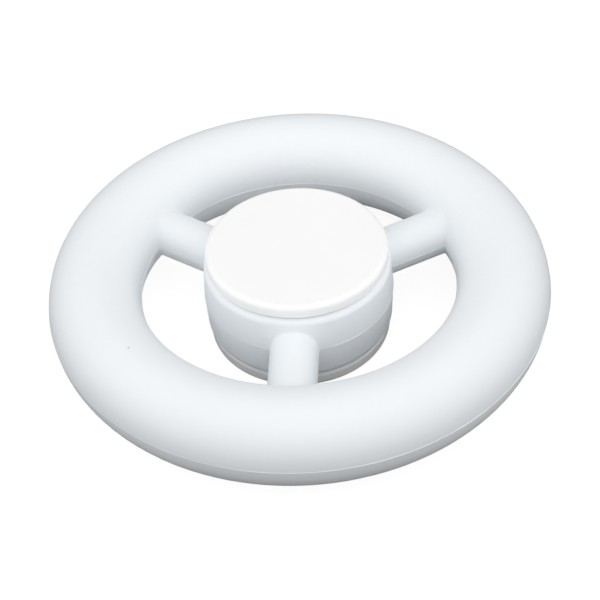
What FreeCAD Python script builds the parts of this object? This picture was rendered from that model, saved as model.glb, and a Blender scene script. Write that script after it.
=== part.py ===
"""Ring-shaped hand spinner: a round rim on three spokes that turns on a ball bearing between two finger caps.

Frame: millimetres, +Z up along the spin axis, origin at the bearing's centre. One spoke points along -Y.
The body is a pair of half-shells that meet on the plane z = 0. Each piece that stands on both sides of that
plane as the same moulding or stamping is drawn once, on the upper side, and turned over for the lower side.
"""

import FreeCAD, Part
import math
import os

import Sketcher
from FreeCAD import Placement, Rotation, Vector

# Driving dimensions: name, value in millimetres or degrees, meaning.
DIMENSIONS = [
    ("ring_radius", 28.46, "spin axis to the middle of the rim's tube"),
    ("tube_radius", 6.44, "round section of the rim"),
    ("tube_wall", 2.0, "wall of the hollow rim"),
    ("land_draft", 6.0, "degrees of draft on the lands beside the seam of rim and spokes"),
    ("spoke_radius", 3.3, "round section of a spoke"),
    ("spoke_core", 1.7, "radius of the hollow inside a spoke"),
    ("spoke_blend", 0.3, "fillet where a spoke meets the hub and the rim"),
    ("hub_seam_radius", 13.2, "hub radius at the seam"),
    ("hub_top_radius", 12.98, "hub radius at its top, smaller by the draft"),
    ("hub_height", 5.2, "seam to the hub's top face"),
    ("hub_round", 0.95, "rounding of the hub's top edge"),
    ("hub_wall", 2.1, "hub wall left between a spoke's hollow and the bearing seat"),
    ("overshoot", 1.0, "how far a cut runs on into a space that is already open"),
    ("lip_radius", 10.35, "opening in the lip that holds the bearing in"),
    ("lip_chamfer", 0.4, "chamfer round that opening"),
    ("post_radius", 1.8, "locating post inside the rim"),
    ("post_height", 5.2, "seam to the root of a post, inside the rim's wall"),
    ("peg_radius", 0.85, "locating peg of the lower shell"),
    ("peg_length", 1.6, "peg standing past the seam"),
    ("socket_radius", 0.9, "socket in the upper shell for a peg"),
    ("socket_depth", 2.0, "depth of a socket"),
    ("tongue_middle", 5.46, "tube's middle to the middle of the weld tongue"),
    ("tongue_width", 0.7, "weld tongue of the lower shell"),
    ("tongue_height", 0.6, "tongue standing past the seam"),
    ("tongue_gap", 0.06, "clearance round the tongue in its groove"),
    ("cap_radius", 12.6, "finger cap"),
    ("cap_top", 7.46, "seam plane to a cap's finger face"),
    ("cap_underside", 5.28, "seam plane to the cap's underside, just clear of the hub"),
    ("cap_round", 0.75, "rounding of a cap's finger edge"),
    ("cap_chamfer", 0.44, "chamfer of a cap's edge beside the hub"),
    ("cap_recess_top", 6.2, "seam plane to the roof of the recess under a cap"),
    ("cap_recess_radius", 11.5, "outer radius of that recess"),
    ("boss_radius", 5.4, "boss of a cap that sits on the inner race"),
    ("stub_end", 0.3, "seam plane to the end of a cap's stub"),
    ("stub_core", 2.4, "radius of the hollow inside a stub"),
    ("stub_core_top", 5.9, "seam plane to the roof of that hollow"),
    ("stub_chamfer", 0.35, "lead-in of a stub"),
    ("bearing_radius", 11.0, "outside of the outer race"),
    ("bearing_bore", 4.0, "radius of the inner race's bore"),
    ("bearing_half", 3.5, "half of the bearing's width"),
    ("race_chamfer", 0.3, "chamfer of the races' corners"),
    ("outer_land", 8.9, "outer race's shoulder beside the track"),
    ("inner_land", 6.1, "inner race's shoulder beside the track"),
    ("track_radius", 2.04, "round section of the ball tracks"),
    ("pitch_radius", 7.5, "circle of the ball centres"),
    ("ball_radius", 1.984, "ball of 5/32 inch"),
    ("ball_play", 0.02, "radial clearance from a ball to the bottom of a track"),
    ("shield_seat", 2.6, "seam plane to the step that a shield rests on"),
    ("shield_seat_radius", 9.8, "recess in the outer race for a shield"),
    ("shield_radius", 9.76, "outside of a dust shield"),
    ("shield_hole", 6.35, "hole of a shield, clear of the inner race"),
    ("shield_thick", 0.25, "sheet of a shield"),
    ("shield_dish", 0.2, "outward dish of a shield's middle"),
    ("shield_margin", 0.2, "flat rim of a shield inside the outer race's shoulder"),
    ("clip_groove_radius", 10.15, "bottom of the snap ring's groove"),
    ("clip_height", 3.09, "seam plane to the middle of a snap ring"),
    ("clip_wire", 0.22, "radius of the snap ring's wire"),
    ("clip_room", 0.02, "clearance of the wire in its groove"),
    ("clip_middle", 9.9, "spin axis to the middle of the wire"),
    ("clip_gap", 26.0, "degrees of the snap ring's gap"),
    ("cage_inner", 6.5, "inside of the ball cage"),
    ("cage_outer", 8.5, "outside of the ball cage"),
    ("cage_sheet", 0.3, "sheet of the cage"),
    ("cage_play", 0.08, "clearance from a ball to its pocket"),
    ("rivet_radius", 0.35, "shank of a cage rivet"),
    ("rivet_head", 0.6, "head of a cage rivet"),
    ("rivet_head_height", 0.25, "height of that head"),
]

BALLS = 7
SPOKES = 3
POSTS = 6

# Half a turn about Y swaps top and bottom and keeps the three spokes in place.
# Half a turn about X does the same for the seven balls.
SHELL_OVER = Placement(Vector(), Rotation(Vector(0, 1, 0), 180))
BEARING_OVER = Placement(Vector(), Rotation(Vector(1, 0, 0), 180))

# Spread of an edge's heights under which it counts as level, and slack when places are compared.
LEVEL = 0.01
SLACK = 0.01

doc = FreeCAD.newDocument("HandSpinner")
sheet = doc.addObject("Spreadsheet::Sheet", "Size")
for row, (alias, size, meaning) in enumerate(DIMENSIONS, start=1):
    sheet.set(f"A{row}", alias)
    sheet.set(f"B{row}", str(size))
    sheet.set(f"C{row}", meaning)
    sheet.setAlias(f"B{row}", alias)
doc.recompute()

# Sizes worked out from the sheet, as expressions that features and sketches are bound to.
SEAT = "Size.bearing_radius"
LAND_OUT = "Size.tube_radius * cos(Size.land_draft)"
LAND_UP = "Size.tube_radius * sin(Size.land_draft)"
CREST = "Size.tube_radius / cos(Size.land_draft)"
SPOKE_OUT = "Size.spoke_radius * cos(Size.land_draft)"
SPOKE_UP = "Size.spoke_radius * sin(Size.land_draft)"
SPOKE_CREST = "Size.spoke_radius / cos(Size.land_draft)"
OUTER_TRACK = "(Size.pitch_radius + Size.ball_radius + Size.ball_play - Size.track_radius)"
INNER_TRACK = "(Size.pitch_radius - Size.ball_radius - Size.ball_play + Size.track_radius)"
POCKET = "(Size.ball_radius + Size.cage_play)"


# A scratch object that turns an expression into a number, for the first guess of each sketch.
gauge = doc.addObject("App::FeaturePython", "Gauge")
gauge.addProperty("App::PropertyFloat", "reading")


def number_of(text):
    """The number that an expression of the sheet's sizes gives."""
    gauge.setExpression("reading", text)
    gauge.recompute()
    return gauge.reading


# ---------------------------------------------------------------- sketches


def origin_feature(body, role):
    """A body's own origin plane or axis."""
    return next(o for o in body.Origin.OriginFeatures if o.Role == role)


def new_sketch(body, name, plane, offset=None):
    """A sketch on an origin plane of its body, moved along the plane's normal by an expression."""
    sketch = body.newObject("Sketcher::SketchObject", name)
    sketch.AttachmentSupport = [(origin_feature(body, plane), "")]
    sketch.MapMode = "FlatFace"
    if offset:
        sketch.setExpression("AttachmentOffset.Base.z", offset)
    return sketch


def bind(sketch, constraint, text):
    """Adds a constraint whose size is an expression."""
    index = sketch.addConstraint(constraint)
    sketch.renameConstraint(index, f"size_{index}")
    sketch.setExpression(f"Constraints.size_{index}", text)


def fix_point(sketch, geometry, end, x, y):
    """Ties a point of a sketch to the place given by two expressions."""
    for kind, axis, text in (("DistanceX", -2, x), ("DistanceY", -1, y)):
        if text == "0":
            sketch.addConstraint(Sketcher.Constraint("PointOnObject", geometry, end, axis))
        else:
            bind(sketch, Sketcher.Constraint(kind, -1, 1, geometry, end, number_of(text)), text)


def arc_between(start, finish, radius, turn):
    """The short arc from start to finish. Turn +1 runs anticlockwise and -1 runs clockwise."""
    chord = finish - start
    left = Vector(-chord.y, chord.x, 0).normalize()
    reach = math.sqrt(radius**2 - (chord.Length / 2) ** 2)
    centre = (start + finish) / 2 + left * (turn * reach)
    first, last = (start, finish) if turn > 0 else (finish, start)
    angles = [math.atan2(p.y - centre.y, p.x - centre.x) for p in (first, last)]
    return Part.ArcOfCircle(Part.Circle(centre, Vector(0, 0, 1), radius), *angles)


def draw_outline(sketch, corners, arcs=None):
    """A closed outline through corners of (x, y) expressions. Arcs maps a segment to (radius, turn)."""
    arcs = arcs or {}
    points = [Vector(number_of(x), number_of(y), 0) for x, y in corners]
    count = len(points)
    ends = []
    for i, start in enumerate(points):
        finish = points[(i + 1) % count]
        if i in arcs:
            radius, turn = arcs[i]
            index = sketch.addGeometry(arc_between(start, finish, number_of(radius), turn), False)
            ends.append((index, 1, 2) if turn > 0 else (index, 2, 1))
        else:
            index = sketch.addGeometry(Part.LineSegment(start, finish), False)
            ends.append((index, 1, 2))
    for i in range(count):
        geometry, _, last = ends[i]
        following, first, _ = ends[(i + 1) % count]
        sketch.addConstraint(Sketcher.Constraint("Coincident", geometry, last, following, first))
    for (geometry, first, _), (x, y) in zip(ends, corners):
        fix_point(sketch, geometry, first, x, y)
    for i, (radius, _) in arcs.items():
        bind(sketch, Sketcher.Constraint("Radius", ends[i][0], number_of(radius)), radius)


def draw_circle(sketch, x, radius):
    """A circle centred at (x, 0)."""
    centre = Vector(number_of(x), 0, 0)
    size = number_of(radius)
    index = sketch.addGeometry(Part.Circle(centre, Vector(0, 0, 1), size), False)
    fix_point(sketch, index, 3, x, "0")
    bind(sketch, Sketcher.Constraint("Radius", index, size), radius)


def with_mirror_image(corners):
    """A list of corners that goes on with its mirror image below y = 0."""
    return corners + [(x, f"-({y})") for x, y in reversed(corners)]


# ---------------------------------------------------------------- features


def new_body(label):
    body = doc.addObject("PartDesign::Body", label)
    body.Label = label
    return body


def feature(body, kind, sketch, **settings):
    """A PartDesign feature made from a sketch."""
    made = body.newObject(f"PartDesign::{kind}", f"{kind}_{sketch.Name}")
    made.Profile = sketch
    for name, setting in settings.items():
        setattr(made, name, setting)
    doc.recompute()
    return made


def extrude(body, kind, sketch, length, reverse=False, midplane=False):
    """A Pad or Pocket whose length is an expression."""
    made = feature(body, kind, sketch, Reversed=reverse, Midplane=midplane)
    made.setExpression("Length", length)
    doc.recompute()
    return made


def turn(body, kind, sketch):
    """A full Revolution or Groove about Z of a sketch on the XZ plane."""
    return feature(body, kind, sketch, ReferenceAxis=(sketch, ["V_Axis"]), Angle=360.0)


def repeat(body, features, count):
    """A PolarPattern of features about Z, made the tip of its body."""
    pattern = body.newObject("PartDesign::PolarPattern", f"Pattern_{features[0].Name}")
    pattern.Originals = features
    pattern.Axis = (origin_feature(body, "Z_Axis"), [""])
    pattern.Angle = 360.0
    pattern.Occurrences = count
    body.Tip = pattern
    doc.recompute()
    return pattern


def ball_primitive(body, kind, name, radius):
    """An additive or subtractive sphere on the pitch circle, at x = pitch radius."""
    sphere = body.newObject(f"PartDesign::{kind}Sphere", name)
    sphere.setExpression("Radius", radius)
    sphere.AttachmentSupport = [(origin_feature(body, "XY_Plane"), "")]
    sphere.MapMode = "FlatFace"
    sphere.setExpression("AttachmentOffset.Base.x", "Size.pitch_radius")
    doc.recompute()
    return sphere


# ---------------------------------------------------------------- the two half-shells


def add_rim_and_spokes(body):
    """The upper half of the rim, hub and spokes, solid, with drafted lands beside the seam."""
    rim = new_sketch(body, "rim", "XZ_Plane")
    draw_outline(
        rim,
        [
            (f"Size.ring_radius + {CREST}", "0"),
            (f"Size.ring_radius + {LAND_OUT}", LAND_UP),
            (f"Size.ring_radius - {LAND_OUT}", LAND_UP),
            (f"Size.ring_radius - {CREST}", "0"),
        ],
        {1: ("Size.tube_radius", 1)},
    )
    turn(body, "Revolution", rim)

    hub = new_sketch(body, "hub", "XZ_Plane")
    draw_outline(
        hub,
        [
            ("0", "0"),
            ("Size.hub_seam_radius", "0"),
            ("Size.hub_top_radius", "Size.hub_height - Size.hub_round"),
            ("Size.hub_top_radius - Size.hub_round", "Size.hub_height"),
            ("0", "Size.hub_height"),
        ],
        {2: ("Size.hub_round", 1)},
    )
    turn(body, "Revolution", hub)

    spoke = new_sketch(body, "spoke", "XZ_Plane")
    draw_outline(
        spoke,
        [
            (SPOKE_CREST, "0"),
            (SPOKE_OUT, SPOKE_UP),
            (f"-{SPOKE_OUT}", SPOKE_UP),
            (f"-{SPOKE_CREST}", "0"),
        ],
        {1: ("Size.spoke_radius", 1)},
    )
    arm = extrude(body, "Pad", spoke, "Size.ring_radius")
    repeat(body, [arm], SPOKES)


def beside_spoke(point):
    """Whether a point is no further from a spoke's middle plane than the spoke's own surface."""
    out = math.hypot(point.x, point.y)
    angle = math.atan2(point.y, point.x) + math.pi / 2
    step = 2 * math.pi / SPOKES
    off = angle - step * round(angle / step)
    return abs(out * math.sin(off)) < number_of(SPOKE_CREST) + SLACK


def spoke_junctions(shape):
    """Names of the edges where the spokes meet the hub and the rim, found by where they lie."""
    rim_low = sheet.ring_radius - number_of(CREST)
    rim_high = sheet.ring_radius - math.sqrt(sheet.tube_radius**2 - sheet.spoke_radius**2)
    spans = [(sheet.hub_top_radius, sheet.hub_seam_radius), (rim_low, rim_high)]
    names = []
    for number, edge in enumerate(shape.Edges, start=1):
        middle = edge.valueAt((edge.FirstParameter + edge.LastParameter) / 2)
        heights = [middle.z] + [vertex.Z for vertex in edge.Vertexes]
        if max(heights) - min(heights) < LEVEL or max(heights) > sheet.spoke_radius + SLACK:
            continue
        out = math.hypot(middle.x, middle.y)
        at_junction = any(low - SLACK < out < high + SLACK for low, high in spans)
        if at_junction and beside_spoke(middle):
            names.append(f"Edge{number}")
    return names


def add_spoke_blends(body):
    base = body.Tip
    blend = body.newObject("PartDesign::Fillet", "spoke_blends")
    blend.Base = (base, spoke_junctions(base.Shape))
    blend.setExpression("Radius", "Size.spoke_blend")
    body.Tip = blend
    doc.recompute()


def hollow_shell(body):
    """Cuts the rim's hollow, the spokes' hollows and the bearing's seat."""
    tube = new_sketch(body, "tube_hollow", "XZ_Plane")
    draw_circle(tube, "Size.ring_radius", "Size.tube_radius - Size.tube_wall")
    turn(body, "Groove", tube)

    start = "Size.bearing_radius + Size.hub_wall"
    finish = "Size.ring_radius - Size.tube_radius + Size.tube_wall + Size.overshoot"
    core = new_sketch(body, "spoke_hollow", "XZ_Plane", start)
    draw_circle(core, "0", "Size.spoke_core")
    cut = extrude(body, "Pocket", core, f"{finish} - ({start})", True)
    repeat(body, [cut], SPOKES)

    seat = new_sketch(body, "bearing_seat", "XZ_Plane")
    draw_outline(
        seat,
        [
            ("0", "0"),
            (SEAT, "0"),
            (SEAT, "Size.bearing_half"),
            ("Size.lip_radius", "Size.bearing_half"),
            ("Size.lip_radius", "Size.hub_height - Size.lip_chamfer"),
            ("Size.lip_radius + Size.lip_chamfer", "Size.hub_height"),
            ("0", "Size.hub_height"),
        ],
    )
    turn(body, "Groove", seat)


def add_posts(body):
    post = new_sketch(body, "post", "XY_Plane")
    draw_circle(post, "Size.ring_radius", "Size.post_radius")
    pad = extrude(body, "Pad", post, "Size.post_height")
    repeat(body, [pad], POSTS)


def add_sockets(body):
    """Sockets and a groove round the rim, which take the lower shell's pegs and tongue."""
    socket = new_sketch(body, "socket", "XY_Plane")
    draw_circle(socket, "Size.ring_radius", "Size.socket_radius")
    cut = extrude(body, "Pocket", socket, "Size.socket_depth", True)
    repeat(body, [cut], POSTS)
    turn(body, "Groove", tongue_sketch(body, "tongue_groove", "Size.tongue_gap", 1))


def add_pegs(body):
    """Pegs and a tongue that stand past the seam."""
    peg = new_sketch(body, "peg", "XY_Plane")
    draw_circle(peg, "Size.ring_radius", "Size.peg_radius")
    pad = extrude(body, "Pad", peg, "Size.peg_length", True)
    repeat(body, [pad], POSTS)
    turn(body, "Revolution", tongue_sketch(body, "tongue", "0", -1))


def tongue_sketch(body, name, gap, side):
    """The tongue's rectangular section, grown by a gap, above or below the seam."""
    sketch = new_sketch(body, name, "XZ_Plane")
    inside = f"Size.ring_radius + Size.tongue_middle - Size.tongue_width / 2 - {gap}"
    outside = f"Size.ring_radius + Size.tongue_middle + Size.tongue_width / 2 + {gap}"
    height = f"{side} * (Size.tongue_height + {gap})"
    draw_outline(sketch, [(inside, "0"), (outside, "0"), (outside, height), (inside, height)])
    return sketch


def half_shell(label, add_joint):
    body = new_body(label)
    add_rim_and_spokes(body)
    add_spoke_blends(body)
    hollow_shell(body)
    add_posts(body)
    add_joint(body)
    return body


# ---------------------------------------------------------------- finger caps


def finger_cap(label):
    """A disc with a rounded finger edge, a boss that sits on the inner race and a hollow stub in its bore."""
    body = new_body(label)
    section = new_sketch(body, "cap", "XZ_Plane")
    draw_outline(
        section,
        [
            ("0", "Size.cap_top"),
            ("0", "Size.stub_core_top"),
            ("Size.stub_core", "Size.stub_core_top"),
            ("Size.stub_core", "Size.stub_end"),
            ("Size.bearing_bore - Size.stub_chamfer", "Size.stub_end"),
            ("Size.bearing_bore", "Size.stub_end + Size.stub_chamfer"),
            ("Size.bearing_bore", "Size.bearing_half"),
            ("Size.boss_radius", "Size.bearing_half"),
            ("Size.boss_radius", "Size.cap_recess_top"),
            ("Size.cap_recess_radius", "Size.cap_recess_top"),
            ("Size.cap_recess_radius", "Size.cap_underside"),
            ("Size.cap_radius - Size.cap_chamfer", "Size.cap_underside"),
            ("Size.cap_radius", "Size.cap_underside + Size.cap_chamfer"),
            ("Size.cap_radius", "Size.cap_top - Size.cap_round"),
            ("Size.cap_radius - Size.cap_round", "Size.cap_top"),
        ],
        {13: ("Size.cap_round", 1)},
    )
    turn(body, "Revolution", section)
    return body


# ---------------------------------------------------------------- bearing


def outer_race(label):
    """The bearing's outer ring, with its ball track, shield steps and snap ring grooves."""
    body = new_body(label)
    section = new_sketch(body, "outer_section", "XZ_Plane")
    track_edge = f"sqrt(Size.track_radius^2 - (Size.outer_land - {OUTER_TRACK})^2)"
    groove_low = "Size.clip_height - Size.clip_wire - Size.clip_room"
    groove_high = "Size.clip_height + Size.clip_wire + Size.clip_room"
    above = [
        ("Size.outer_land", track_edge),
        ("Size.outer_land", "Size.shield_seat"),
        ("Size.shield_seat_radius", "Size.shield_seat"),
        ("Size.shield_seat_radius", groove_low),
        ("Size.clip_groove_radius", groove_low),
        ("Size.clip_groove_radius", groove_high),
        ("Size.shield_seat_radius", groove_high),
        ("Size.shield_seat_radius", "Size.bearing_half"),
        (f"{SEAT} - Size.race_chamfer", "Size.bearing_half"),
        (SEAT, "Size.bearing_half - Size.race_chamfer"),
    ]
    corners = with_mirror_image(above)
    draw_outline(section, corners, {len(corners) - 1: ("Size.track_radius", 1)})
    turn(body, "Revolution", section)
    return body


def inner_race(label):
    """The bearing's inner ring, with its ball track."""
    body = new_body(label)
    section = new_sketch(body, "inner_section", "XZ_Plane")
    track_edge = f"sqrt(Size.track_radius^2 - ({INNER_TRACK} - Size.inner_land)^2)"
    above = [
        ("Size.inner_land", track_edge),
        ("Size.inner_land", "Size.bearing_half - Size.race_chamfer"),
        ("Size.inner_land - Size.race_chamfer", "Size.bearing_half"),
        ("Size.bearing_bore + Size.race_chamfer", "Size.bearing_half"),
        ("Size.bearing_bore", "Size.bearing_half - Size.race_chamfer"),
    ]
    corners = with_mirror_image(above)
    draw_outline(section, corners, {len(corners) - 1: ("Size.track_radius", -1)})
    turn(body, "Revolution", section)
    return body


def dust_shield(label):
    """A thin dished washer that covers the balls."""
    body = new_body(label)
    section = new_sketch(body, "shield", "XZ_Plane")
    low = "Size.shield_seat"
    dish = "Size.shield_seat + Size.shield_dish"
    rim = "Size.outer_land - Size.shield_margin"
    foot = f"{rim} - Size.shield_dish"
    draw_outline(
        section,
        [
            ("Size.shield_hole", dish),
            (foot, dish),
            (rim, low),
            ("Size.shield_radius", low),
            ("Size.shield_radius", f"{low} + Size.shield_thick"),
            (rim, f"{low} + Size.shield_thick"),
            (foot, f"{dish} + Size.shield_thick"),
            ("Size.shield_hole", f"{dish} + Size.shield_thick"),
        ],
    )
    turn(body, "Revolution", section)
    return body


def snap_ring(label, height="Size.clip_height"):
    """A round wire bent to a C, which springs into the outer race over a shield."""
    wire = doc.addObject("Part::Torus", label)
    wire.Label = label
    wire.setExpression("Radius1", "Size.clip_middle")
    wire.setExpression("Radius2", "Size.clip_wire")
    wire.setExpression("Angle3", "360 - Size.clip_gap")
    wire.setExpression("Placement.Base.z", height)
    return wire


def bearing_ball(label, place):
    ball = doc.addObject("Part::Sphere", label)
    ball.Label = label
    ball.setExpression("Radius", "Size.ball_radius")
    angle = f"{place} * 360 / {BALLS}"
    ball.setExpression("Placement.Base.x", f"Size.pitch_radius * cos({angle})")
    ball.setExpression("Placement.Base.y", f"Size.pitch_radius * sin({angle})")
    return ball


def cage_half(label):
    """Half of the pressed ribbon cage: flat webs joined by a cup round each ball, with rivet holes."""
    body = new_body(label)
    web = new_sketch(body, "cage_web", "XY_Plane")
    draw_circle(web, "0", "Size.cage_outer")
    extrude(body, "Pad", web, "Size.cage_sheet")
    cup = ball_primitive(body, "Additive", "cup", f"{POCKET} + Size.cage_sheet")
    repeat(body, [cup], BALLS)

    trim = new_sketch(body, "cage_trim", "XZ_Plane")
    room = "2 * Size.ball_radius"
    draw_outline(
        trim,
        [
            ("0", room),
            ("0", f"-{room}"),
            (SEAT, f"-{room}"),
            (SEAT, room),
            ("Size.cage_outer", room),
            ("Size.cage_outer", "0"),
            ("Size.cage_inner", "0"),
            ("Size.cage_inner", room),
        ],
    )
    turn(body, "Groove", trim)
    hollow = ball_primitive(body, "Subtractive", "pocket", POCKET)
    repeat(body, [hollow], BALLS)

    hole = new_sketch(body, "rivet_hole", "XY_Plane")
    hole.AttachmentOffset = Placement(Vector(), Rotation(Vector(0, 0, 1), 180 / BALLS))
    draw_circle(hole, "Size.pitch_radius", "Size.rivet_radius")
    cut = extrude(body, "Pocket", hole, "Size.cage_sheet", True)
    repeat(body, [cut], BALLS)
    return body


def rivets(label):
    """The cage's rivets, one between each two balls: a shank through both halves and two coned heads."""
    parts = []
    for place in range(BALLS):
        shank = doc.addObject("Part::Cylinder", f"shank_{place + 1}")
        shank.setExpression("Radius", "Size.rivet_radius")
        shank.setExpression("Height", "2 * Size.cage_sheet")
        at_rivet(shank, place, "-Size.cage_sheet", 0)
        for side in (1, -1):
            head = doc.addObject("Part::Cone", f"head_{place + 1}")
            head.setExpression("Radius1", "Size.rivet_head")
            head.setExpression("Radius2", "Size.rivet_radius")
            head.setExpression("Height", "Size.rivet_head_height")
            at_rivet(head, place, f"{side} * Size.cage_sheet", 90 - 90 * side)
            parts.append(head)
        parts.append(shank)
    joined = doc.addObject("Part::MultiFuse", label)
    joined.Label = label
    joined.Shapes = parts
    doc.recompute()
    return joined


def at_rivet(piece, place, height, tilt):
    """Stands a primitive on a rivet's axis, upright or turned over."""
    piece.Placement = Placement(Vector(), Rotation(Vector(1, 0, 0), tilt))
    angle = f"({place} + 0.5) * 360 / {BALLS}"
    piece.setExpression("Placement.Base.x", f"Size.pitch_radius * cos({angle})")
    piece.setExpression("Placement.Base.y", f"Size.pitch_radius * sin({angle})")
    piece.setExpression("Placement.Base.z", height)


# ---------------------------------------------------------------- the whole spinner


def turned_over(piece, placement):
    piece.Placement = placement
    return piece


def build():
    """Every sub-part, in place."""
    pieces = [
        half_shell("upper_shell", add_sockets),
        turned_over(half_shell("lower_shell", add_pegs), SHELL_OVER),
        outer_race("bearing_outer_race"),
        inner_race("bearing_inner_race"),
        rivets("cage_rivets"),
        snap_ring("upper_snap_ring"),
        snap_ring("lower_snap_ring", "-Size.clip_height"),
    ]
    for label, make in (("finger_cap", finger_cap), ("dust_shield", dust_shield), ("cage_half", cage_half)):
        pieces.append(make(f"upper_{label}"))
        pieces.append(turned_over(make(f"lower_{label}"), BEARING_OVER))
    pieces += [bearing_ball(f"bearing_ball_{place + 1}", place) for place in range(BALLS)]
    doc.recompute()
    return pieces


def check(pieces):
    """Stops the build at any feature with an error and any piece that isn't sound."""
    for item in doc.Objects:
        faults = {"Invalid", "Error"} & set(item.State)
        if faults:
            raise RuntimeError(f"{item.Name} is {faults}")
    for piece in pieces:
        if piece.Shape.isNull() or not piece.Shape.isValid() or not piece.Shape.Solids:
            raise RuntimeError(f"{piece.Label} has no sound shape")


pieces = build()
doc.removeObject(gauge.Name)
doc.recompute()
check(pieces)
os.makedirs("parts", exist_ok=True)
for piece in pieces:
    print(f"{piece.Label:22} solids {len(piece.Shape.Solids)}  volume {piece.Shape.Volume:9.2f}")
    piece.Shape.exportStep(f"parts/{piece.Label}.step")
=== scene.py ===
"""Ring-shaped hand spinner: materials, seam flash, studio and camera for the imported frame. Metres, +Z up."""
import math

import bmesh
import bpy
from mathutils import Matrix, Vector, noise


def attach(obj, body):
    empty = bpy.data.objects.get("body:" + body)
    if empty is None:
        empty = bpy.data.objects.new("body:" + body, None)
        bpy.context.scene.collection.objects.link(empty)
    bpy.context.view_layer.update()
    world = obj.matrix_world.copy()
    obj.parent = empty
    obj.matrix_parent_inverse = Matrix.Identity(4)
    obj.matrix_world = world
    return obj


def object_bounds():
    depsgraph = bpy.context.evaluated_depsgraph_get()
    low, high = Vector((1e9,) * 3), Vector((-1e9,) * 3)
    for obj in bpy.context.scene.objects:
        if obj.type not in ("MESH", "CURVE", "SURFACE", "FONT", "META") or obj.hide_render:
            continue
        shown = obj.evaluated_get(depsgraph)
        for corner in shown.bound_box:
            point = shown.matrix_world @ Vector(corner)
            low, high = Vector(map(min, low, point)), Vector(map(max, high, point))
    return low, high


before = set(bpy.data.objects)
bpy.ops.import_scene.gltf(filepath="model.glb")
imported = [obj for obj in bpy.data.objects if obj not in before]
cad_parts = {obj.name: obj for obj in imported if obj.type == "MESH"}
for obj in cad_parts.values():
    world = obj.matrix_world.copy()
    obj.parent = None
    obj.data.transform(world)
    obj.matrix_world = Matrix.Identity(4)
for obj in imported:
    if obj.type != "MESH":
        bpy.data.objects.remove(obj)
cad_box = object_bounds()

MM = 0.001

# Camera: in front and above, on a long lens, rolled a little. Lens and sensor are in millimetres of
# film, and the shift is in widths of the picture.
CAMERA_AZIMUTH = math.radians(5.14)
CAMERA_ELEVATION = math.radians(42.81)
CAMERA_ROLL = math.radians(-3.74)
CAMERA_DISTANCE = 262.8 * MM
CAMERA_NEAR = 10 * MM
CAMERA_LENS = 112.9
CAMERA_SENSOR = 36
CAMERA_SHIFT = (0.002, -0.0252)

# The flash left where the two halves meet: its section, how deep it is rooted in the plastic, how much
# thicker it is towards +X, and the length and size of its uneven patches.
FLASH_WIDTH = 0.12 * MM
FLASH_HEIGHT = 0.03 * MM
FLASH_ROOT = 0.012 * MM
FLASH_LEAN = 0.75
FLASH_PATCH = 6 * MM
FLASH_HEIGHT_SWING = 0.9
FLASH_WIDTH_SWING = 0.3

# How the seam is found: slack when places are compared, and the upward slope of the lands beside it.
SEAM_SLACK = 0.002 * MM
LAND_SLOPE_LOW = 0.02
LAND_SLOPE_HIGH = 0.5

# Floor: half its side, its gap below the lower cap, the share of light that it throws back and its own
# glow on the object. The camera sees another share and glow, which add up to white.
FLOOR_HALF = 1500 * MM
FLOOR_GAP = 0.02 * MM
FLOOR_BOUNCE = 0.02
FLOOR_FILL = 0.1
FLOOR_SHADE = 0.2
FLOOR_GLOW = 0.9
FLOOR_ROUGHNESS = 0.9

# The card on the floor is a ring under the spinner's openings, brightest on one side: painted light that
# stands in for stronger light falling on that side. Its azimuth is measured as for the lights.
CARD_BOUNCE = 0.85
CARD_SIDE = math.radians(-50)
CARD_MIDDLE = 21.5 * MM
CARD_HALF = 2.5 * MM
CARD_FADE = 3 * MM
CARD_PAINTED_SHADE = 0.1
CARD_PAINTED_LIGHT = 1.2

# Soft lights: azimuth from -Y towards +X, elevation, and strength at the middle of each lobe. A lobe falls
# off as a power of the cosine.
SOFT_LIGHTS = [
    (math.radians(80), math.radians(24), 1.41),
    (math.radians(-78), math.radians(20), 1.22),
    (math.radians(-45), math.radians(50), 0.48),
    (math.radians(30), math.radians(42), 0.3),
    (math.radians(180), math.radians(35), 0.3),
]
LIGHT_FALLOFF = 2.0

# Materials: most of a noise's values lie from low to high. A speck is full inside the core, a share of its
# radius. An edge is fully worn where its rounded and true normals have this cosine.
NOISE_LOW = 0.3
NOISE_HIGH = 0.7
SPECK_CORE = 0.6
WORN_COSINE = 0.9
PLASTIC_IOR = 1.5
SMUDGE_SHADE = 0.72
SMUDGE_ROUGHNESS = 0.12

# Edges that turn by more than this are shaded sharp.
SMOOTH_ANGLE = math.radians(22)


# ---------------------------------------------------------------- node helpers


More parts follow.
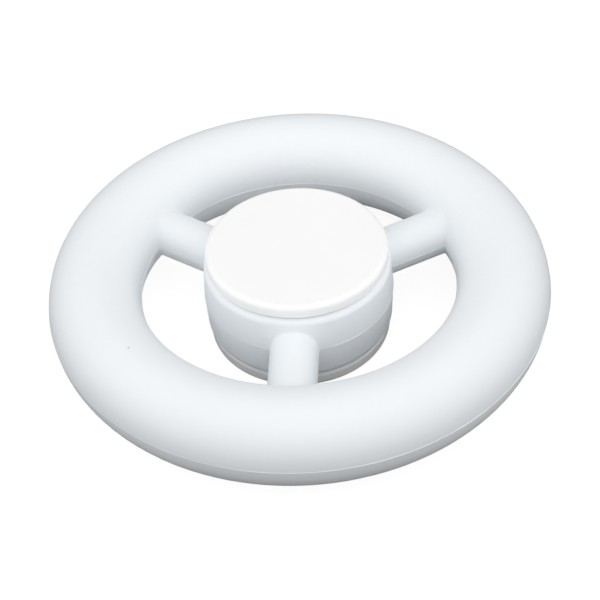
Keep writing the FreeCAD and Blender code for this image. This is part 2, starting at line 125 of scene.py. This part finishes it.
class Nodes:
    """A node tree, with short calls for adding and linking nodes."""

    def __init__(self, owner):
        owner.use_nodes = True
        self.tree = owner.node_tree

    def add(self, kind, **inputs):
        node = self.tree.nodes.new(kind)
        for name, value in inputs.items():
            self.set(node, name.replace("_", " "), value)
        return node

    def set(self, node, socket, value):
        """Gives a socket a number or colour, or links it to another node's output."""
        target = node.inputs[socket]
        if isinstance(value, bpy.types.NodeSocket):
            self.tree.links.new(value, target)
        else:
            target.default_value = value

    def spread(self, value, low, high, out_low=0.0, out_high=1.0):
        """Maps a value from one range to another, held at both ends."""
        node = self.add("ShaderNodeMapRange")
        self.set(node, "Value", value)
        limits = {"From Min": low, "From Max": high, "To Min": out_low, "To Max": out_high}
        for socket, number in limits.items():
            self.set(node, socket, number)
        return node.outputs["Result"]

    def mix(self, factor, first, second):
        """Mixes two colours, which a Mix node takes at sockets 6 and 7 and gives at output 2."""
        node = self.tree.nodes.new("ShaderNodeMix")
        node.data_type = "RGBA"
        self.set(node, 0, factor)
        self.set(node, 6, first)
        self.set(node, 7, second)
        return node.outputs[2]

    def grey(self, value):
        """A colour with the same value in each channel, which may be above 1."""
        return self.add("ShaderNodeCombineColor", Red=value, Green=value, Blue=value).outputs["Color"]

    def math(self, operation, first, second=0.0):
        node = self.tree.nodes.new("ShaderNodeMath")
        node.operation = operation
        self.set(node, 0, first)
        self.set(node, 1, second)
        return node.outputs[0]

    def vectors(self, operation, first, second=(0, 0, 0)):
        node = self.tree.nodes.new("ShaderNodeVectorMath")
        node.operation = operation
        self.set(node, 0, first)
        self.set(node, 1, second)
        return node

    def dot(self, first, second):
        return self.vectors("DOT_PRODUCT", first, second).outputs["Value"]


class Shader(Nodes):
    """A material's node tree, with the textures that the materials share."""

    def __init__(self, name):
        self.material = bpy.data.materials.new(name)
        super().__init__(self.material)
        self.surface = self.tree.nodes["Principled BSDF"]
        self.place = self.add("ShaderNodeTexCoord").outputs["Object"]

    def noise(self, size, detail, roughness=0.5):
        """Noise from 0 to 1 with features of about the given size in metres."""
        node = self.add("ShaderNodeTexNoise", Vector=self.place, Scale=1 / size, Detail=detail)
        self.set(node, "Roughness", roughness)
        return node.outputs["Fac"]

    def bump(self, height, distance, under=None):
        """Bumps of the given real height in metres, on top of an earlier bump."""
        node = self.add("ShaderNodeBump", Strength=1.0, Distance=distance, Height=height)
        if under:
            self.set(node, "Normal", under)
        return node.outputs["Normal"]

    def edge_wear(self, radius):
        """1 where the surface turns a corner within the radius, 0 on open faces."""
        bevel = self.add("ShaderNodeBevel", Radius=radius)
        normal = self.add("ShaderNodeNewGeometry").outputs["Normal"]
        return self.spread(self.dot(bevel.outputs["Normal"], normal), 1.0, WORN_COSINE)

    def axis_distance(self):
        """Distance from the spin axis."""
        flat = self.vectors("MULTIPLY", self.place, (1, 1, 0)).outputs["Vector"]
        return self.vectors("LENGTH", flat).outputs["Value"]

    def specks(self, spacing, size, share):
        """Sparse small dots: 1 on a dot. Share is the part of the cells that hold one."""
        cells = self.add("ShaderNodeTexVoronoi", Vector=self.place, Scale=1 / spacing)
        edge = size / spacing
        dot = self.spread(cells.outputs["Distance"], edge, SPECK_CORE * edge)
        pick = self.add("ShaderNodeSeparateColor", Color=cells.outputs["Color"])
        chosen = self.math("GREATER_THAN", pick.outputs["Red"], 1 - share)
        return self.math("MULTIPLY", dot, chosen)


def colour(red, green, blue):
    return (red, green, blue, 1.0)


def toward(azimuth, elevation):
    """A unit direction, with the azimuth turned from -Y, the front, towards +X."""
    level = math.cos(elevation)
    return Vector((math.sin(azimuth) * level, -math.cos(azimuth) * level, math.sin(elevation)))


# ---------------------------------------------------------------- materials


def shell_plastic():
    """Cool white moulded plastic with a fine spark-eroded texture, sparse specks and a rubbed seam."""
    shader = Shader("shell_plastic")
    drift = shader.noise(14 * MM, detail=3)
    mottle = shader.noise(0.7 * MM, detail=4)
    grain = shader.noise(0.11 * MM, detail=3, roughness=0.6)

    patches = shader.spread(drift, NOISE_LOW, NOISE_HIGH)
    base = shader.mix(patches, colour(0.86, 0.892, 0.918), colour(0.875, 0.904, 0.928))
    base = shader.mix(shader.spread(mottle, 0.35, 0.7, 0, 0.35), base, colour(0.844, 0.88, 0.904))
    base = shader.mix(shader.specks(3.4 * MM, 0.13 * MM, 0.3), base, colour(0.33, 0.34, 0.36))
    base = shader.mix(shader.specks(2.3 * MM, 0.12 * MM, 0.3), base, colour(0.92, 0.945, 0.955))
    wear = shader.edge_wear(0.25 * MM)
    base = shader.mix(shader.math("MULTIPLY", wear, 0.35), base, colour(0.9, 0.925, 0.935))

    rough = shader.spread(mottle, NOISE_LOW, NOISE_HIGH, 0.46, 0.56)
    rough = shader.math("SUBTRACT", rough, shader.math("MULTIPLY", wear, 0.12))
    swell = shader.bump(drift, 0.012 * MM)
    shader.set(shader.surface, "Base Color", base)
    shader.set(shader.surface, "Roughness", rough)
    shader.set(shader.surface, "IOR", PLASTIC_IOR)
    shader.set(shader.surface, "Specular IOR Level", 0.4)
    shader.set(shader.surface, "Normal", shader.bump(grain, 0.006 * MM, under=swell))
    return shader.material


def cap_plastic():
    """Neutral white satin plastic, smoother than the shells, with faint turned tool marks."""
    shader = Shader("cap_plastic")
    drift = shader.noise(9 * MM, detail=3)
    fine = shader.noise(0.35 * MM, detail=4)
    rings = shader.add("ShaderNodeTexWave", Vector=shader.place, Scale=1 / (2.4 * MM))
    shader.set(rings, "Distortion", 0.4)
    shader.set(rings, "Detail", 2.0)
    rings.wave_type = "RINGS"
    rings.rings_direction = "Z"

    patches = shader.spread(drift, NOISE_LOW, NOISE_HIGH)
    base = shader.mix(patches, colour(0.955, 0.956, 0.953), colour(0.965, 0.966, 0.963))
    base = shader.mix(shader.specks(2.9 * MM, 0.1 * MM, 0.2), base, colour(0.6, 0.6, 0.59))
    wear = shader.edge_wear(0.2 * MM)
    base = shader.mix(shader.math("MULTIPLY", wear, 0.3), base, colour(0.955, 0.955, 0.95))

    rough = shader.spread(fine, NOISE_LOW, NOISE_HIGH, 0.42, 0.5)
    rough = shader.math("SUBTRACT", rough, shader.math("MULTIPLY", wear, 0.08))
    turned = shader.bump(rings.outputs["Fac"], 0.0006 * MM)
    shader.set(shader.surface, "Base Color", base)
    shader.set(shader.surface, "Roughness", rough)
    shader.set(shader.surface, "IOR", PLASTIC_IOR)
    shader.set(shader.surface, "Specular IOR Level", 0.35)
    shader.set(shader.surface, "Normal", shader.bump(fine, 0.002 * MM, under=turned))
    return shader.material


def flash_plastic():
    """The shells' plastic squeezed out as a thin flash, which is uneven in tone and a little glossy."""
    shader = Shader("flash_plastic")
    patches = shader.noise(1.8 * MM, detail=3)
    tone = shader.spread(patches, 0.35, 0.65)
    base = shader.mix(tone, colour(0.83, 0.855, 0.88), colour(0.9, 0.92, 0.94))
    shader.set(shader.surface, "Base Color", base)
    shader.set(shader.surface, "Roughness", shader.spread(patches, NOISE_LOW, NOISE_HIGH, 0.32, 0.46))
    shader.set(shader.surface, "Normal", shader.bump(patches, 0.01 * MM))
    return shader.material


def steel(name, tint, rough, ring_pitch, grain_height):
    """Bright steel with fine turned or drawn lines round the spin axis, smudges and rubbed edges."""
    shader = Shader(name)
    smudge = shader.noise(2.5 * MM, detail=4)
    lines = shader.add("ShaderNodeTexNoise", Scale=1.0, Detail=3.0)
    lines.noise_dimensions = "1D"
    shader.set(lines, "W", shader.math("DIVIDE", shader.axis_distance(), ring_pitch))
    dull = colour(*(SMUDGE_SHADE * part for part in tint))
    base = shader.mix(shader.spread(smudge, 0.35, 0.7), colour(*tint), dull)
    wear = shader.edge_wear(0.1 * MM)
    base = shader.mix(shader.math("MULTIPLY", wear, 0.5), base, colour(0.85, 0.85, 0.86))
    smudged = shader.spread(smudge, NOISE_LOW, NOISE_HIGH, rough, rough + SMUDGE_ROUGHNESS)
    shader.set(shader.surface, "Base Color", base)
    shader.set(shader.surface, "Metallic", 1.0)
    shader.set(shader.surface, "Roughness", smudged)
    shader.set(shader.surface, "Normal", shader.bump(lines.outputs["Fac"], grain_height))
    return shader.material


# ---------------------------------------------------------------- the seam's flash


def seam_neighbours(mesh):
    """The outside seam of a half-shell, as {place: [position, outward direction, neighbouring places]}."""
    seam = {}

    def note(index, outward):
        position = mesh.vertices[index].co
        place = tuple(round(part / SEAM_SLACK) for part in position)
        entry = seam.setdefault(place, [position.copy(), Vector(), set()])
        entry[1] += outward
        return place

    for face in mesh.polygons:
        if not LAND_SLOPE_LOW < face.normal.z < LAND_SLOPE_HIGH:
            continue
        outward = Vector((face.normal.x, face.normal.y, 0)).normalized()
        for pair in face.edge_keys:
            if all(abs(mesh.vertices[index].co.z) < SEAM_SLACK for index in pair):
                first, second = (note(index, outward) for index in pair)
                if first != second:
                    seam[first][2].add(second)
                    seam[second][2].add(first)
    return seam


def seam_loops(seam):
    """Closed runs of (position, outward direction) round the seam."""
    left = {place for place, entry in seam.items() if len(entry[2]) == 2}
    loops = []
    while left:
        here = min(left)
        run = []
        while here in left:
            left.discard(here)
            run.append((seam[here][0], seam[here][1].normalized()))
            ahead = sorted(seam[here][2] & left)
            here = ahead[0] if ahead else None
        loops.append(run)
    return loops


def flash_section(position, outward):
    """The four corners of the flash at one point: top, crest, bottom and root."""
    swing = noise.noise(position / FLASH_PATCH)
    crest = FLASH_HEIGHT * (1 + FLASH_LEAN * outward.x) * (1 + FLASH_HEIGHT_SWING * swing)
    half = FLASH_WIDTH / 2 * (1 + FLASH_WIDTH_SWING * swing)
    up = Vector((0, 0, half))
    edge = position - outward * FLASH_ROOT
    return (edge + up, position + outward * crest, edge - up, position - outward * 2 * FLASH_ROOT)


def seam_flash():
    """A thin closed ridge along every outside edge of the seam."""
    made = bmesh.new()
    for run in seam_loops(seam_neighbours(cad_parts["upper_shell"].data)):
        rows = [[made.verts.new(corner) for corner in flash_section(*point)] for point in run]
        for row, following in zip(rows, rows[1:] + rows[:1]):
            for side in range(len(row)):
                ahead = (side + 1) % len(row)
                made.faces.new((row[side], row[ahead], following[ahead], following[side]))
    bmesh.ops.recalc_face_normals(made, faces=made.faces)
    piece("seam_flash", made, flash_plastic(), "spinner")


def piece(name, made, material, body):
    """A mesh object from a bmesh, with one material, that rides on a body."""
    mesh = bpy.data.meshes.new(name)
    made.to_mesh(mesh)
    made.free()
    mesh.shade_smooth()
    mesh.set_sharp_from_angle(angle=SMOOTH_ANGLE)
    mesh.materials.append(material)
    made_object = bpy.data.objects.new(name, mesh)
    bpy.context.scene.collection.objects.link(made_object)
    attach(made_object, body)


# ---------------------------------------------------------------- studio


def card_share(shader):
    """How much of the card there is at each place of the floor, with painted light that makes one side throw
    back more.
    """
    off = shader.math("ABSOLUTE", shader.math("SUBTRACT", shader.axis_distance(), CARD_MIDDLE))
    ring = shader.spread(off, CARD_HALF, CARD_HALF + CARD_FADE, 1, 0)
    # Painted light: one side of the card throws back more, standing in for stronger light falling there.
    ahead = shader.dot(shader.place, toward(CARD_SIDE, 0))
    side = shader.spread(ahead, -CARD_MIDDLE, CARD_MIDDLE, CARD_PAINTED_SHADE, CARD_PAINTED_LIGHT)
    return shader.math("MULTIPLY", ring, side)


def floor_paper():
    """White to the camera, whatever light it throws back. The camera sees through it from below."""
    shader = Shader("floor_paper")
    fibre = shader.noise(0.8 * MM, detail=3)
    seen = shader.spread(fibre, NOISE_LOW, NOISE_HIGH, 0.95 * FLOOR_SHADE, 1.05 * FLOOR_SHADE)
    bounce = shader.spread(card_share(shader), 0, 1, FLOOR_BOUNCE, CARD_BOUNCE)
    ray = shader.add("ShaderNodeLightPath").outputs["Is Camera Ray"]
    shader.set(shader.surface, "Base Color", shader.mix(ray, shader.grey(bounce), shader.grey(seen)))
    shader.set(shader.surface, "Roughness", FLOOR_ROUGHNESS)
    shader.set(shader.surface, "Specular IOR Level", 0.0)
    shader.set(shader.surface, "Emission Color", colour(1, 1, 1))
    shader.set(shader.surface, "Emission Strength", shader.spread(ray, 0, 1, FLOOR_FILL, FLOOR_GLOW))

    below = shader.add("ShaderNodeNewGeometry").outputs["Backfacing"]
    through = shader.tree.nodes.new("ShaderNodeMixShader")
    shader.set(through, 0, shader.math("MULTIPLY", ray, below))
    shader.set(through, 1, shader.surface.outputs["BSDF"])
    shader.set(through, 2, shader.add("ShaderNodeBsdfTransparent").outputs["BSDF"])
    shader.set(shader.tree.nodes["Material Output"], "Surface", through.outputs["Shader"])
    return shader.material


def studio_floor():
    """A paper floor just under the lower cap."""
    made = bmesh.new()
    bmesh.ops.create_grid(made, x_segments=2, y_segments=2, size=FLOOR_HALF)
    bmesh.ops.translate(made, verts=made.verts, vec=(0, 0, cad_box[0].z - FLOOR_GAP))
    mesh = bpy.data.meshes.new("floor")
    made.to_mesh(mesh)
    made.free()
    mesh.materials.append(floor_paper())
    floor = bpy.data.objects.new("floor", mesh)
    bpy.context.scene.collection.objects.link(floor)


def studio_sky():
    """Broad soft lights round the object, as lobes of a dome that the camera sees as plain white."""
    world = bpy.data.worlds.new("studio")
    bpy.context.scene.world = world
    nodes = Nodes(world)
    direction = nodes.add("ShaderNodeTexCoord").outputs["Generated"]
    total = 0.0
    for azimuth, elevation, strength in SOFT_LIGHTS:
        facing = nodes.dot(direction, toward(azimuth, elevation))
        lobe = nodes.math("POWER", nodes.math("MAXIMUM", facing), LIGHT_FALLOFF)
        total = nodes.math("ADD", total, nodes.math("MULTIPLY", lobe, strength))
    seen = nodes.add("ShaderNodeLightPath").outputs["Is Camera Ray"]
    background = nodes.tree.nodes["Background"]
    nodes.set(background, "Color", nodes.mix(seen, nodes.grey(total), colour(1, 1, 1)))
    nodes.set(background, "Strength", 1.0)


def camera():
    """A camera aimed at the bearing's centre and turned a little about its own axis."""
    back = toward(CAMERA_AZIMUTH, CAMERA_ELEVATION)
    level = Vector((math.cos(CAMERA_AZIMUTH), math.sin(CAMERA_AZIMUTH), 0))
    right = Matrix.Rotation(CAMERA_ROLL, 3, back) @ level
    up = back.cross(right)
    data = bpy.data.cameras.new("camera")
    data.lens = CAMERA_LENS
    data.sensor_width = CAMERA_SENSOR
    data.shift_x, data.shift_y = CAMERA_SHIFT
    data.clip_start = CAMERA_NEAR
    eye = bpy.data.objects.new("camera", data)
    eye.matrix_world = Matrix((
        (right.x, up.x, back.x, back.x * CAMERA_DISTANCE),
        (right.y, up.y, back.y, back.y * CAMERA_DISTANCE),
        (right.z, up.z, back.z, back.z * CAMERA_DISTANCE),
        (0, 0, 0, 1),
    ))
    bpy.context.scene.collection.objects.link(eye)
    bpy.context.scene.camera = eye


# ---------------------------------------------------------------- the scene

finishes = {
    "shell_plastic": shell_plastic(),
    "cap_plastic": cap_plastic(),
    "bearing_steel": steel("bearing_steel", (0.62, 0.62, 0.63), 0.24, 0.05 * MM, 0.0008 * MM),
    "shield_steel": steel("shield_steel", (0.68, 0.68, 0.69), 0.32, 0.12 * MM, 0.0012 * MM),
    "spring_steel": steel("spring_steel", (0.36, 0.36, 0.38), 0.3, 0.03 * MM, 0.0008 * MM),
    "cage_steel": steel("cage_steel", (0.56, 0.54, 0.5), 0.36, 0.2 * MM, 0.0015 * MM),
    "ball_steel": steel("ball_steel", (0.8, 0.8, 0.82), 0.06, 0.02 * MM, 0.0001 * MM),
}
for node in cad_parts.values():
    slot = node.material_slots[0]
    slot.material = finishes[slot.material.name.split(".")[0]]

seam_flash()
studio_floor()
studio_sky()
camera()

bpy.context.scene.view_settings.view_transform = "Standard"
